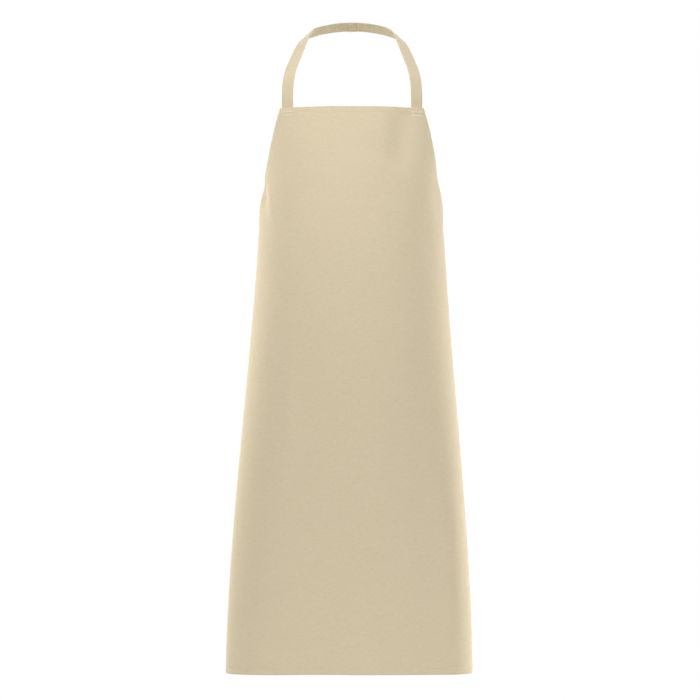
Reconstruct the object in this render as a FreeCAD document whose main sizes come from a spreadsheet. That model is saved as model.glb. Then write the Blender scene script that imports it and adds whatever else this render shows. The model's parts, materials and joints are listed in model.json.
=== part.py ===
"""Bib apron: a cotton panel wrapped as it is worn, a sewn neck strap and two waist ties.

Millimetres. +X is to the right as the front is faced, -Y is the front, +Z is up. The origin
is the lower edge of the neck strap at the nape, where a neck or a hook carries the apron.

The cloth is laid out flat first, as it is cut: "girth" is the distance round the body from the
middle of the front, and "drop" is the distance down from the bib's top edge. Every piece that
is sewn to the panel is a patch of that flat layout, wrapped on to the same elliptical sections.
"""

import FreeCAD, Part
import math
import os
import Sketcher

Vector = FreeCAD.Vector
SIDES = {"left": -1, "right": 1}
ALONG_STEP = 0.001  # share of a curve over which its direction is taken
CUTTER_MARGIN = 20.0  # the armhole's cutter reaches this far outside the panel
CUTTER_DEPTH = 6.0  # and this far in front of it and behind it
STRAP_STEPS = 240  # steps in which a strap half's middle line is added up
GIRTH_STEP = 1.0  # girth to each side over which a direction across the cloth is taken
HALVINGS = 40  # halvings in the search for a share of the armhole
EDGE_TOLERANCE = 0.01  # an edge this near to the tie's tip, or this short in X, counts as on it

SIZES = [
    # the cut of the panel
    ("apron_length", 1100, "bib top edge to bottom edge"),
    ("bib_half_width", 146, "flat, middle to corner of the bib's top edge"),
    ("skirt_half_width", 375, "flat, middle to side edge below the waist"),
    ("waist_drop", 265, "bib top edge to the waist corner"),
    ("armhole_flare", 57, "how far the armhole leans out over its straight upper run"),
    ("armhole_run", 150, "drop of the armhole's straight upper run"),
    ("armhole_hollow", 175, "flat run of the armhole's lower end, towards the waist corner"),
    ("armhole_dip", 3, "rise of the armhole's lower end above the waist corner"),
    ("cloth_thickness", 1.0, "one ply of canvas"),
    ("ply_gap", 0.1, "clearance between plies that are sewn together"),
    # the worn shape: half width, half depth and place of the section at four drops
    ("hip_drop", 650, "bib top edge to the hip section"),
    ("chest_half_width", 178, "section at the bib top"),
    ("waist_half_width", 184, "section at the waist corner"),
    ("hip_half_width", 215, "section at the hip"),
    ("hem_half_width", 242, "section at the bottom edge"),
    ("chest_half_depth", 80, "section at the bib top"),
    ("waist_half_depth", 106, "section at the waist corner"),
    ("hip_half_depth", 100, "section at the hip"),
    ("hem_half_depth", 86, "section at the bottom edge"),
    ("chest_set_forward", 93, "axis of the bib top section, in front of the nape"),
    ("waist_set_forward", 114, "axis of the waist section, in front of the nape"),
    ("hip_set_forward", 122, "axis of the hip section, in front of the nape"),
    ("hem_set_forward", 124, "axis of the bottom section, in front of the nape"),
    # folded hems and their stitching
    ("bib_hem_width", 12, "turned hem along the bib top"),
    ("armhole_hem_width", 7, "turned hem along the armhole"),
    ("side_hem_width", 8, "turned hem down the side"),
    ("bottom_hem_width", 14, "turned hem along the bottom"),
    ("stitch_inset", 1.4, "stitching line to the inner fold of its hem"),
    ("thread_width", 0.7, "width of a stitching line"),
    ("thread_proud", 0.25, "stitching above the cloth's face"),
    ("row_end_inset", 1, "end of a stitching row to the edge it runs to"),
    # neck strap
    ("strap_width", 24, "flat width"),
    ("strap_thickness", 1.4, "two plies, pressed"),
    ("strap_corner_inset", 2, "strap edge to the bib's corner, flat"),
    ("strap_lap", 26, "strap end sewn behind the bib"),
    ("nape_rise", 176, "bib top edge to the strap's lower edge at the nape"),
    ("strap_bend_above", 8, "free strap starts this far above the bib's top edge"),
    ("strap_bend_below", 3, "sewn strap end starts this far below the bib's top edge"),
    ("strap_free_length", 306.8, "one half, from above the bib to the centre back"),
    ("strap_lean_back", 49, "degrees that the strap leans back from the bib"),
    ("strap_lean_run", 100, "length over which it comes to lean back"),
    ("strap_roll_at", 207, "length at which it rolls over the shoulder"),
    ("strap_roll_short", 60, "length of the roll's quick part, over twice the strap's width"),
    ("strap_roll_long", 140, "length of the roll's gradual part"),
    ("strap_roll_gradual", 0.25, "share of the roll in its gradual part"),
    ("nape_lean", 52, "degrees that the strap's top edge leans forward at the nape"),
    ("nape_bend", 30, "degrees of bend from the roll to the centre back"),
    ("seam_allowance", 8, "each side of the centre back seam"),
    ("nape_seam_gap", 0.2, "clearance between the two strap halves"),
    ("nape_row_place", 4.8, "centre back seam to the stitched row beside it"),
    # waist ties
    ("tie_width", 25, "flat width"),
    ("tie_thickness", 1.4, "two plies, pressed"),
    ("tie_length", 790, "free length below the fold"),
    ("tie_lap", 30, "tie end sewn behind the panel"),
    ("tie_clear_of_edge", 5, "free tie to the panel's side edge"),
    ("tie_below_corner", 4, "waist corner to the top of the sewn tie end"),
    ("tie_fold_gap", 3, "sewn tie end to the free tie"),
    ("tie_tip_chamfer", 3, "clipped corners at the tie's tip"),
    # bar tacks
    ("tack_height", 1.6, "height of one bar tack row"),
    ("first_tack_drop", 7.2, "bib top edge to the upper row"),
    ("tack_pitch", 7, "upper row to lower row"),
    ("tie_tack_inset", 3, "sewn tie end to its inner bar tack"),
    ("tie_tack_top", 4.5, "tie's top edge to the top of a bar tack"),
]


def make_sheet(document):
    """Put the driving dimensions in a spreadsheet, one aliased cell each."""
    sheet = document.addObject("Spreadsheet::Sheet", "Sizes")
    for row, (alias, value, note) in enumerate(SIZES, start=1):
        sheet.set(f"A{row}", alias)
        sheet.set(f"B{row}", str(value))
        sheet.set(f"C{row}", note)
        sheet.setAlias(f"B{row}", alias)
    document.recompute()
    return sheet


doc = FreeCAD.newDocument("BibApron")
size = make_sheet(doc)
nodes = []

# ---------------------------------------------------------------- worn shape


def through(stations, values, at):
    """The smooth curve (a cubic polynomial) through four values at four stations."""
    total = 0.0
    for i, value in enumerate(values):
        term = value
        for j, station in enumerate(stations):
            if j != i:
                term *= (at - station) / (stations[i] - station)
        total += term
    return total


def section(drop):
    """Half width, half depth and centre y of the elliptical section at a drop."""
    stations = (0.0, size.waist_drop, size.hip_drop, size.apron_length)
    half_width = through(
        stations,
        (size.chest_half_width, size.waist_half_width, size.hip_half_width, size.hem_half_width),
        drop,
    )
    half_depth = through(
        stations,
        (size.chest_half_depth, size.waist_half_depth, size.hip_half_depth, size.hem_half_depth),
        drop,
    )
    forward = through(
        stations,
        (size.chest_set_forward, size.waist_set_forward, size.hip_set_forward, size.hem_set_forward),
        drop,
    )
    return half_width, half_depth, -forward


def angle_at(girth, half_width, half_depth):
    """Angle round the section, from the front, at which its arc measures girth."""
    oval = Part.Ellipse(Vector(0, 0, 0), half_width, half_depth)
    quarter = 1.5 * math.pi
    turned = oval.parameterAtDistance(abs(girth), quarter) - quarter
    return math.copysign(turned, girth)


def wrap(girth, drop, lift=0.0):
    """Point of the worn cloth at a flat place, lifted outwards from the middle of the cloth."""
    half_width, half_depth, centre = section(drop)
    angle = angle_at(girth, half_width, half_depth)
    outward = Vector(math.sin(angle) / half_width, -math.cos(angle) / half_depth, 0)
    outward.normalize()
    on_cloth = Vector(
        half_width * math.sin(angle),
        centre - half_depth * math.cos(angle),
        -size.nape_rise - drop,
    )
    return on_cloth + outward * lift


# ---------------------------------------------------------------- patches


def grid_surface(place, across, along):
    """B-spline surface through place(u, v), with u and v from 0 to 1."""
    rows = []
    for i in range(across + 1):
        rows.append([place(i / across, j / along) for j in range(along + 1)])
    surface = Part.BSplineSurface()
    surface.interpolate(rows)
    return surface


def borders(surface):
    """The four border curves of a surface, each in the surface's own direction."""
    first_u, last_u, first_v, last_v = surface.bounds()
    return (
        surface.uIso(first_u), surface.uIso(last_u),
        surface.vIso(first_v), surface.vIso(last_v),
    )


def slab(place, low, high, across, along):
    """Closed solid between place(u, v, low) and place(u, v, high)."""
    lower = grid_surface(lambda u, v: place(u, v, low), across, along)
    upper = grid_surface(lambda u, v: place(u, v, high), across, along)
    faces = [lower.toShape(), upper.toShape()]
    for low_border, high_border in zip(borders(lower), borders(upper)):
        faces.append(low_border.makeRuledSurface(high_border).toShape())
    shell = Part.Shell(faces)
    shell.sewShape()
    solid = Part.Solid(shell)
    if solid.Volume < 0:
        solid.reverse()
    return solid


def patch(low_girth, high_girth, low_drop, high_drop, low, high, across=4, along=4):
    """Patch of the layout between two girths and two drops."""

    def place(u, v, lift):
        girth = low_girth + (high_girth - low_girth) * u
        drop = low_drop + (high_drop - low_drop) * v
        return wrap(girth, drop, lift)

    return slab(place, low, high, across, along)


def add_feature(label, shape):
    """Add a piece whose shape is worked out above."""
    feature = doc.addObject("Part::Feature", label)
    feature.Label = label
    feature.Shape = shape
    feature.Placement = FreeCAD.Placement()
    nodes.append(feature)
    return feature


# lifts of the layers, outwards from the middle of the panel's cloth
half_ply = size.cloth_thickness / 2
hem_top = -half_ply - size.ply_gap
hem_bottom = hem_top - size.cloth_thickness
lap_top = hem_bottom - size.ply_gap
strap_lap_bottom = lap_top - size.strap_thickness
tie_lap_bottom = lap_top - size.tie_thickness
thread_top = half_ply + size.thread_proud
thread_bottom = hem_bottom - size.ply_gap / 2

# ---------------------------------------------------------------- armhole


def armhole(share):
    """Flat place (girth, drop) on the armhole edge, from the bib corner to the waist corner."""
    points = (
        (size.bib_half_width, 0.0),
        (size.bib_half_width + size.armhole_flare, size.armhole_run),
        (size.skirt_half_width - size.armhole_hollow, size.waist_drop - size.armhole_dip),
        (size.skirt_half_width, size.waist_drop),
    )
    rest = 1.0 - share
    weights = (rest**3, 3 * rest * rest * share, 3 * rest * share * share, share**3)
    girth = sum(weight * point[0] for weight, point in zip(weights, points))
    drop = sum(weight * point[1] for weight, point in zip(weights, points))
    return girth, drop


def armhole_inset(share, inset):
    """Flat place at a distance inside the armhole edge."""
    before = armhole(share - ALONG_STEP)
    after = armhole(share + ALONG_STEP)
    run_girth = after[0] - before[0]
    run_drop = after[1] - before[1]
    length = math.hypot(run_girth, run_drop)
    girth, drop = armhole(share)
    return girth - inset * run_drop / length, drop + inset * run_girth / length


def armhole_share_at(drop):
    """Share of the armhole at which it reaches a drop, found by halving."""
    low, high = 0.0, 1.0
    for _ in range(HALVINGS):
        middle = 0.5 * (low + high)
        if armhole(middle)[1] < drop:
            low = middle
        else:
            high = middle
    return 0.5 * (low + high)


def armhole_strip(sign, outer_inset, inner_inset, low, high):
    """Strip that follows the armhole, between two distances inside its edge."""
    start = armhole_share_at(size.bib_hem_width + size.ply_gap)

    def place(u, v, lift):
        share = start + (1.0 - start) * v
        girth, drop = armhole_inset(share, outer_inset + (inner_inset - outer_inset) * u)
        return wrap(sign * girth, drop, lift)

    return slab(place, low, high, 2, 24)


def armhole_cutter(sign):
    """Block that removes the cloth outside the armhole."""
    outside = size.skirt_half_width + CUTTER_MARGIN

    def place(u, v, lift):
        girth, drop = armhole(v)
        along_girth = girth + (outside - girth) * u
        along_drop = drop - (drop + CUTTER_MARGIN) * u * v
        return wrap(sign * along_girth, along_drop, lift)

    return slab(place, -CUTTER_DEPTH, CUTTER_DEPTH, 10, 24)


# ---------------------------------------------------------------- panel and hems


def make_panel():
    """One ply of canvas, cut to the outline and wrapped to the worn shape."""
    whole = patch(
        -size.skirt_half_width, size.skirt_half_width, 0.0, size.apron_length,
        -half_ply, half_ply, across=48, along=16,
    )
    shape = whole
    for sign in SIDES.values():
        shape = shape.cut(armhole_cutter(sign))
    add_feature("apron_panel", shape.Solids[0] if len(shape.Solids) == 1 else shape)


def make_hems():
    """Turned hems on the inside of the panel, each with its line of stitching."""
    girth = size.bib_half_width
    inset = size.row_end_inset
    add_feature(
        "bib_top_hem",
        patch(-girth, girth, 0.0, size.bib_hem_width, hem_bottom, hem_top, across=16, along=2),
    )
    row = size.bib_hem_width - size.stitch_inset
    half_thread = size.thread_width / 2
    add_feature(
        "bib_top_stitching",
        patch(-girth + inset, girth - inset, row - half_thread, row + half_thread,
              thread_bottom, thread_top, across=16, along=2),
    )
    girth = size.skirt_half_width
    low = size.apron_length - size.bottom_hem_width
    add_feature(
        "bottom_hem",
        patch(-girth, girth, low, size.apron_length, hem_bottom, hem_top, across=48, along=2),
    )
    row = low + size.stitch_inset
    add_feature(
        "bottom_stitching",
        patch(-girth + inset, girth - inset, row - half_thread, row + half_thread,
              thread_bottom, thread_top, across=48, along=2),
    )
    for side, sign in SIDES.items():
        add_feature(
            f"armhole_hem_{side}",
            armhole_strip(sign, 0.0, size.armhole_hem_width, hem_bottom, hem_top),
        )
        row = size.armhole_hem_width - size.stitch_inset
        add_feature(
            f"armhole_stitching_{side}",
            armhole_strip(sign, row - half_thread, row + half_thread, thread_bottom, thread_top),
        )
        top = size.waist_drop + size.armhole_hem_width + 2 * size.ply_gap
        bottom = size.apron_length - size.bottom_hem_width - size.ply_gap
        edge = size.skirt_half_width
        add_feature(
            f"side_hem_{side}",
            patch(sign * (edge - size.side_hem_width), sign * edge, top, bottom,
                  hem_bottom, hem_top, across=2, along=16),
        )
        row = edge - size.side_hem_width + size.stitch_inset
        add_feature(
            f"side_stitching_{side}",
            patch(sign * (row - half_thread), sign * (row + half_thread), top, bottom,
                  thread_bottom, thread_top, across=2, along=16),
        )


# ---------------------------------------------------------------- neck strap

strap_girth = size.bib_half_width - size.strap_corner_inset - size.strap_width / 2
strap_seat = wrap(strap_girth, 0.0, lap_top - size.strap_thickness / 2)
nape_down = Vector(
    0, math.sin(math.radians(size.nape_lean)), -math.cos(math.radians(size.nape_lean))
)
nape_middle = nape_down * (-size.strap_width / 2)


def eased(share):
    """Smooth step from 0 to 1."""
    held = min(max(share, 0.0), 1.0)
    return held * held * (3 - 2 * held)


def strip_frame(across, forward):
    """Rotation whose x runs across the strip, y along it and z out of its outer face."""
    return FreeCAD.Rotation(across, forward, across.cross(forward), "XYZ")


bib_across = (wrap(strap_girth + GIRTH_STEP, 0.0) - wrap(strap_girth - GIRTH_STEP, 0.0)).normalize()
bib_frame = strip_frame(bib_across, Vector(0, 0, 1))
lean_back = FreeCAD.Rotation(bib_across, -size.strap_lean_back)
nape_frame = FreeCAD.Rotation(nape_down, size.nape_bend) * strip_frame(nape_down, Vector(-1, 0, 0))
roll_over = nape_frame * (lean_back * bib_frame).inverted()


def roll_share(distance):
    """How much of the roll over the shoulder is done at a distance along the strap half."""
    before = distance - size.strap_roll_at
    gradual = eased(before / size.strap_roll_long + 0.5)
    quick = eased(before / size.strap_roll_short + 0.5)
    return quick + (gradual - quick) * size.strap_roll_gradual


def strap_frame(distance):
    """Frame of the right strap half: it leans back, rolls over the shoulder and bends to the nape."""
    leaning = FreeCAD.Rotation(bib_across, -size.strap_lean_back * eased(distance / size.strap_lean_run))
    done = roll_share(distance) / roll_share(size.strap_free_length)
    rolling = FreeCAD.Rotation(roll_over.Axis, math.degrees(roll_over.Angle) * done)
    rest = (distance - size.strap_roll_at) / (size.strap_free_length - size.strap_roll_at)
    bending = FreeCAD.Rotation(nape_down, -size.nape_bend * min(max(rest, 0.0), 1.0))
    return bending * rolling * leaning * bib_frame


def strap_line():
    """Middle line of the right strap half in equal steps, eased so that it ends at the nape."""
    step = size.strap_free_length / STRAP_STEPS
    line = [strap_seat + Vector(0, 0, size.strap_bend_above)]
    for index in range(STRAP_STEPS):
        forward = strap_frame((index + 0.5) * step).multVec(Vector(0, 1, 0))
        line.append(line[-1] + forward * step)
    gap = nape_middle - line[-1]
    return [place + gap * eased(index / STRAP_STEPS) for index, place in enumerate(line)]


strap_places = strap_line()


def strap_place(share, offset, lift, sign):
    """Point of a strap half: share along it, offset across it, lift towards its outer face."""
    steps = share * STRAP_STEPS
    before = min(int(steps), STRAP_STEPS - 1)
    middle = strap_places[before] + (strap_places[before + 1] - strap_places[before]) * (steps - before)
    place = middle + strap_frame(share * size.strap_free_length).multVec(Vector(offset, 0, lift))
    return Vector(sign * place.x, place.y, place.z)


def strap_share_at(distance):
    """Share of the strap half at which its middle line is this far from the centre back."""
    return 1.0 - distance / size.strap_free_length


def make_strap():
    """Two strap halves, their pressed-open seam and its stitching, and the sewn ends."""
    half_width = size.strap_width / 2
    half_thick = size.strap_thickness / 2
    last = strap_share_at(size.nape_seam_gap / 2)
    for side, sign in SIDES.items():

        def place(u, v, lift, sign=sign):
            return strap_place(last * v, half_width * (2 * u - 1), lift, sign)

        add_feature(f"neck_strap_{side}", slab(place, -half_thick, half_thick, 4, 60))

        lap = patch(
            sign * (strap_girth - half_width), sign * (strap_girth + half_width),
            size.strap_bend_below, size.strap_lap, strap_lap_bottom, lap_top, across=4, along=4,
        )
        add_feature(f"neck_strap_end_{side}", lap)

        tacks = []
        for row in range(2):
            top = size.first_tack_drop + row * size.tack_pitch
            tacks.append(
                patch(sign * (strap_girth - half_width), sign * (strap_girth + half_width),
                      top, top + size.tack_height, strap_lap_bottom - size.thread_proud,
                      thread_top, across=4, along=2)
            )
        add_feature(f"neck_strap_bar_tack_{side}", Part.makeCompound(tacks))


def make_nape_seam():
    """Seam allowances pressed open inside the strap, and a stitched row on each side."""
    half_width = size.strap_width / 2
    half_thick = size.strap_thickness / 2
    top = half_thick + size.ply_gap

    def crossing(x_share, offset, lift):
        sign = 1 if x_share >= 0 else -1
        share = strap_share_at(abs(x_share) * size.seam_allowance)
        return strap_place(share, offset, lift, sign)

    def allowance(u, v, lift):
        return crossing(2 * u - 1, half_width * (2 * v - 1), lift)

    add_feature(
        "nape_seam_allowance",
        slab(allowance, -top - size.cloth_thickness, -top, 8, 2),
    )
    rows = []
    for sign in SIDES.values():
        middle = sign * size.nape_row_place / size.seam_allowance
        half_row = 0.5 * size.thread_width / size.seam_allowance

        def place(u, v, lift, middle=middle, half_row=half_row):
            offset = (half_width - size.row_end_inset) * (2 * v - 1)
            return crossing(middle + half_row * (2 * u - 1), offset, lift)

        rows.append(
            slab(place, -top - size.cloth_thickness - size.thread_proud,
                 half_thick + size.thread_proud, 2, 2)
        )
    add_feature("nape_seam_stitching", Part.makeCompound(rows))


# ---------------------------------------------------------------- waist ties

tie_top_drop = size.waist_drop + size.tie_below_corner
tie_fold_drop = tie_top_drop + size.tie_width + size.tie_fold_gap
tie_girth = size.skirt_half_width + size.tie_clear_of_edge + size.tie_width / 2
tie_lift = lap_top - size.tie_thickness / 2


def tie_frame(sign):
    """Middle of the free tie's top edge, and the direction across the tie."""
    middle = wrap(sign * tie_girth, tie_fold_drop, tie_lift)
    inner = wrap(sign * (tie_girth - GIRTH_STEP), tie_fold_drop, tie_lift)
    outer = wrap(sign * (tie_girth + GIRTH_STEP), tie_fold_drop, tie_lift)
    across = outer - inner
    across.z = 0
    across.normalize()
    return middle, across


def make_tie_ends():
    """Tie ends sewn behind the waist corners, reaching past the side edge to the fold."""
    for side, sign in SIDES.items():
        edge = size.skirt_half_width
        free_side = edge + size.tie_clear_of_edge + size.tie_width
        add_feature(
            f"waist_tie_end_{side}",
            patch(sign * (edge - size.tie_lap), sign * free_side,
                  tie_top_drop, tie_top_drop + size.tie_width,
                  tie_lap_bottom, lap_top, across=8, along=2),
        )
        rows = []
        for inset in (size.tie_lap - size.tie_tack_inset, size.side_hem_width / 2):
            middle = edge - inset
            rows.append(
                patch(sign * (middle - size.tack_height / 2), sign * (middle + size.tack_height / 2),
                      tie_top_drop + size.tie_tack_top,
                      tie_top_drop + size.tie_width - size.row_end_inset,
                      tie_lap_bottom - size.thread_proud, thread_top, across=2, along=2)
            )
        add_feature(f"waist_tie_bar_tack_{side}", Part.makeCompound(rows))


def make_tie(side, sign):
    """Free tie: a flat strip with clipped tip corners, hanging below its fold."""
    body = doc.addObject("PartDesign::Body", f"waist_tie_{side}")
    body.Label = f"waist_tie_{side}"
    plane = [item for item in body.Origin.OriginFeatures if item.Role == "XZ_Plane"][0]
    sketch = body.newObject("Sketcher::SketchObject", f"tie_outline_{side}")
    sketch.AttachmentSupport = [(plane, "")]
    sketch.MapMode = "FlatFace"
    width, length = size.tie_width, size.tie_length
    corners = [
        Vector(-width / 2, 0, 0), Vector(width / 2, 0, 0),
        Vector(width / 2, -length, 0), Vector(-width / 2, -length, 0),
    ]
    for index in range(4):
        sketch.addGeometry(Part.LineSegment(corners[index], corners[(index + 1) % 4]), False)
    for index in range(4):
        sketch.addConstraint(Sketcher.Constraint("Coincident", index, 2, (index + 1) % 4, 1))
    for index, kind in enumerate(("Horizontal", "Vertical", "Horizontal", "Vertical")):
        sketch.addConstraint(Sketcher.Constraint(kind, index))
    sketch.addConstraint(Sketcher.Constraint("Symmetric", 0, 1, 0, 2, -1, 1))
    across = sketch.addConstraint(Sketcher.Constraint("DistanceX", 0, 1, 0, 2, width))
    down = sketch.addConstraint(Sketcher.Constraint("DistanceY", 1, 2, 1, 1, length))
    sketch.setExpression(f"Constraints[{across}]", "Sizes.tie_width")
    sketch.setExpression(f"Constraints[{down}]", "Sizes.tie_length")
    strip = body.newObject("PartDesign::Pad", f"tie_strip_{side}")
    strip.Profile = sketch
    strip.Midplane = True
    strip.setExpression("Length", "Sizes.tie_thickness")
    doc.recompute()
    tip_edges = []
    for number, edge in enumerate(strip.Shape.Edges, start=1):
        box = edge.BoundBox
        if box.ZMax < -length + EDGE_TOLERANCE and box.XLength < EDGE_TOLERANCE:
            tip_edges.append(f"Edge{number}")
    tip = body.newObject("PartDesign::Chamfer", f"tie_tip_{side}")
    tip.Base = (strip, tip_edges)
    tip.setExpression("Size", "Sizes.tie_tip_chamfer")
    body.Tip = tip
    middle, direction = tie_frame(sign)
    heading = math.degrees(math.atan2(direction.y, direction.x))
    body.Placement = FreeCAD.Placement(middle, FreeCAD.Rotation(Vector(0, 0, 1), heading))
    nodes.append(body)


# ---------------------------------------------------------------- build


def check_and_write():
    """Refuse a failed or invalid piece, then write each node's solid."""
    doc.recompute()
    for item in doc.Objects:
        if "Invalid" in item.State or "Error" in item.State:
            raise RuntimeError(f"{item.Label} did not compute")
    os.makedirs("parts", exist_ok=True)
    for item in nodes:
        shape = item.Shape
        if shape.isNull() or not shape.isValid():
            raise RuntimeError(f"{item.Label} has no valid shape")
        shape.exportStep(f"parts/{item.Label}.step")
        print(item.Label, len(shape.Solids), round(shape.Volume, 1))


def print_places():
    """Print the joint places that the record states."""
    print("strap hinge", strap_seat.y, -size.nape_rise)
    for side, sign in SIDES.items():
        middle, direction = tie_frame(sign)
        print("tie hinge", side, middle, direction)


make_panel()
make_hems()
make_strap()
make_nape_seam()
make_tie_ends()
for name, direction_sign in SIDES.items():
    make_tie(name, direction_sign)
check_and_write()
print_places()
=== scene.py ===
"""Bib apron in cotton canvas, built round the packed frame, in metres.

The cloth is worked out in its flat layout first: girth is the distance round the body from the
middle of the front, and drop the distance down from the bib's top edge. wrap() lays that layout
on the worn shape, and every hem, strap end and stitch goes through it, so they follow the cloth.
"""

import json
import math

import bpy
import numpy as np
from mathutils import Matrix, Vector
from bpy.props import FloatProperty, FloatVectorProperty, IntProperty, PointerProperty


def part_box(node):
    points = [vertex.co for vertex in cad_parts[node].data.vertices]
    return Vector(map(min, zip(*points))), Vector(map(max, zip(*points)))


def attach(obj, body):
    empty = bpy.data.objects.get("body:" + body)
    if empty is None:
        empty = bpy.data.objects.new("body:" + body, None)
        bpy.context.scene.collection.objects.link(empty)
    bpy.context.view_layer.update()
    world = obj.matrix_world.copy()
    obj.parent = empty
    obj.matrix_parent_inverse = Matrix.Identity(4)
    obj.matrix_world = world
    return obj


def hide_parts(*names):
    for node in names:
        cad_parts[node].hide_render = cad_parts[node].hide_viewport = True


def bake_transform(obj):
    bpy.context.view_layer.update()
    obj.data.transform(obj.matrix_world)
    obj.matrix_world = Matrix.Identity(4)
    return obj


bl_info = {
    "name": "Bib Apron",
    "version": (1, 0, 0),
    "blender": (4, 5, 0),
    "location": "3D View > Sidebar > Apron",
    "description": "Cotton bib apron with turned hems, a seamed neck strap and waist ties",
    "category": "Object",
}

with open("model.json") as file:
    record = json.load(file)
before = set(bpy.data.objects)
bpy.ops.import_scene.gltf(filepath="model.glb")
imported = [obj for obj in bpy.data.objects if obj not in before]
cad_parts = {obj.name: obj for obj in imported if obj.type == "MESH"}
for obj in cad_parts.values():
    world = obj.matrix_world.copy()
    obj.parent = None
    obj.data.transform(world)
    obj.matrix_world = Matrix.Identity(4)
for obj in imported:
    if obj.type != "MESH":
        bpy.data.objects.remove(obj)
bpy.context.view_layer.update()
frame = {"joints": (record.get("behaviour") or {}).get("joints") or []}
PANEL_LOW, PANEL_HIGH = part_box("apron_panel")
TIE_LOW, TIE_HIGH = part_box("waist_tie_left")
MM = 0.001


def frame_joint(name):
    """Place of a joint of the frame."""
    joint = [item for item in frame["joints"] if item["name"] == name][0]
    return tuple(joint["pos_m"])


SIDES = {"left": -1.0, "right": 1.0}


def length_property(text, value):
    """A length in metres."""
    return FloatProperty(description=text, default=value, subtype="DISTANCE", unit="LENGTH")


def angle_property(text, degrees):
    """An angle, given in degrees."""
    return FloatProperty(description=text, default=math.radians(degrees), subtype="ANGLE", unit="ROTATION")


def share_property(text, value):
    """A share from 0 to 1."""
    return FloatProperty(description=text, default=value, min=0, max=1)


def stations_property(text, values):
    """Four lengths: at the bib top, the waist corner, the hip and the bottom edge."""
    return FloatVectorProperty(description=text, default=values, size=4, subtype="NONE", unit="LENGTH")


def colour_property(text, value):
    """A linear colour."""
    return FloatVectorProperty(description=text, default=value, size=3, subtype="COLOR", min=0, max=1)


# ---------------------------------------------------------------- settings


class ApronCut(bpy.types.PropertyGroup):
    """The flat cut of the panel."""

    length: length_property("Bib top edge to bottom edge", PANEL_HIGH[2] - PANEL_LOW[2])
    nape_rise: length_property("Bib top edge to the strap's lower edge at the nape", -PANEL_HIGH[2])
    bib_half: length_property("Middle to corner of the bib's top edge", 0.146)
    skirt_half: length_property("Middle to side edge below the waist", 0.375)
    waist_drop: length_property("Bib top edge to the waist corner", 0.265)
    armhole_flare: length_property("Lean of the armhole's upper run", 0.057)
    armhole_run: length_property("Drop of the armhole's upper run", 0.150)
    armhole_hollow: length_property("Flat run of the armhole's lower end", 0.175)
    armhole_dip: length_property("Rise of the armhole's lower end above the corner", 0.003)
    ply: length_property("Thickness of the canvas", 0.0010)


class ApronWorn(bpy.types.PropertyGroup):
    """The elliptical sections that the cloth is wrapped on."""

    hip_drop: length_property("Bib top edge to the hip section", 0.650)
    half_widths: stations_property("Half widths of the sections", (0.178, 0.184, 0.215, 0.242))
    half_depths: stations_property("Half depths of the sections", (0.080, 0.106, 0.100, 0.086))
    forwards: stations_property("Section axes in front of the nape", (0.093, 0.114, 0.122, 0.124))
    hem_dip: length_property("How much lower the bottom edge hangs at the sides", 0.011)
    hang_lean: length_property("Sideways lean of the bottom edge against the bib", -0.006)


class ApronSewing(bpy.types.PropertyGroup):
    """Hems, straps, ties and stitching."""

    bib_hem: length_property("Width of the turned hem along the bib top", 0.012)
    armhole_hem: length_property("Width of the turned armhole hem", 0.007)
    side_hem: length_property("Width of the turned side hem", 0.008)
    bottom_hem: length_property("Width of the turned bottom hem", 0.014)
    hem_bulk: length_property("Thickness of the two turned plies", 0.0015)
    stitch_inset: length_property("Stitching line to the inner fold of its hem", 0.0014)
    stitch_length: length_property("One lock stitch and its gap", 0.0030)
    thread_radius: length_property("Half the thickness of the sewing thread", 0.00026)
    strap_width: length_property("Flat width of the neck strap", 0.024)
    strap_thickness: length_property("Neck strap, pressed", 0.0016)
    strap_lap: length_property("Strap end sewn behind the bib", 0.026)
    strap_inset: length_property("Strap edge to the bib's corner", 0.002)
    strap_bend_above: length_property("Free strap starts this far above the bib", 0.008)
    strap_length: length_property("One half, from above the bib to the centre back", 0.3068)
    strap_lean: angle_property("How far the strap leans back from the bib", 49)
    strap_lean_run: length_property("Length over which it comes to lean back", 0.100)
    strap_roll_at: length_property("Length at which it rolls over the shoulder", 0.207)
    crisp_roll: length_property("Length of the creased roll on the left", 0.012)
    soft_roll: length_property("Length of the rounded roll on the right", 0.028)
    roll_slant: share_property("How much the roll slants across the strap", 0.8)
    strap_roll_long: length_property("Length of the roll's gradual part", 0.140)
    strap_roll_gradual: share_property("Share of the roll in its gradual part", 0.25)
    nape_lean: angle_property("How far the strap's top edge leans forward at the nape", 52)
    nape_bend: angle_property("Bend from the roll to the centre back", 30)
    edge_row: length_property("Strap or tie edge to the row that closes it", 0.0020)
    seam_allowance: length_property("Each side of the centre back seam", 0.0080)
    nape_row: length_property("Centre back seam to the row beside it", 0.0048)
    tack_height: length_property("Height of a bar tack", 0.0016)
    first_tack: length_property("Bib top edge to the upper bar tack", 0.0072)
    tack_pitch: length_property("Upper bar tack to the lower one", 0.0070)
    tie_tack_inset: length_property("Sewn tie end to its inner bar tack", 0.0030)
    tie_width: length_property("Flat width of a waist tie", 0.025)
    tie_thickness: length_property("Waist tie, pressed", 0.0016)
    tie_length: length_property("Free length below the fold", TIE_HIGH[2] - TIE_LOW[2])
    tie_lap: length_property("Tie end sewn behind the panel", 0.030)
    tie_clear: length_property("Free tie to the panel's side edge", 0.005)
    tie_below: length_property("Waist corner to the top of the sewn tie end", 0.004)


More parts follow.
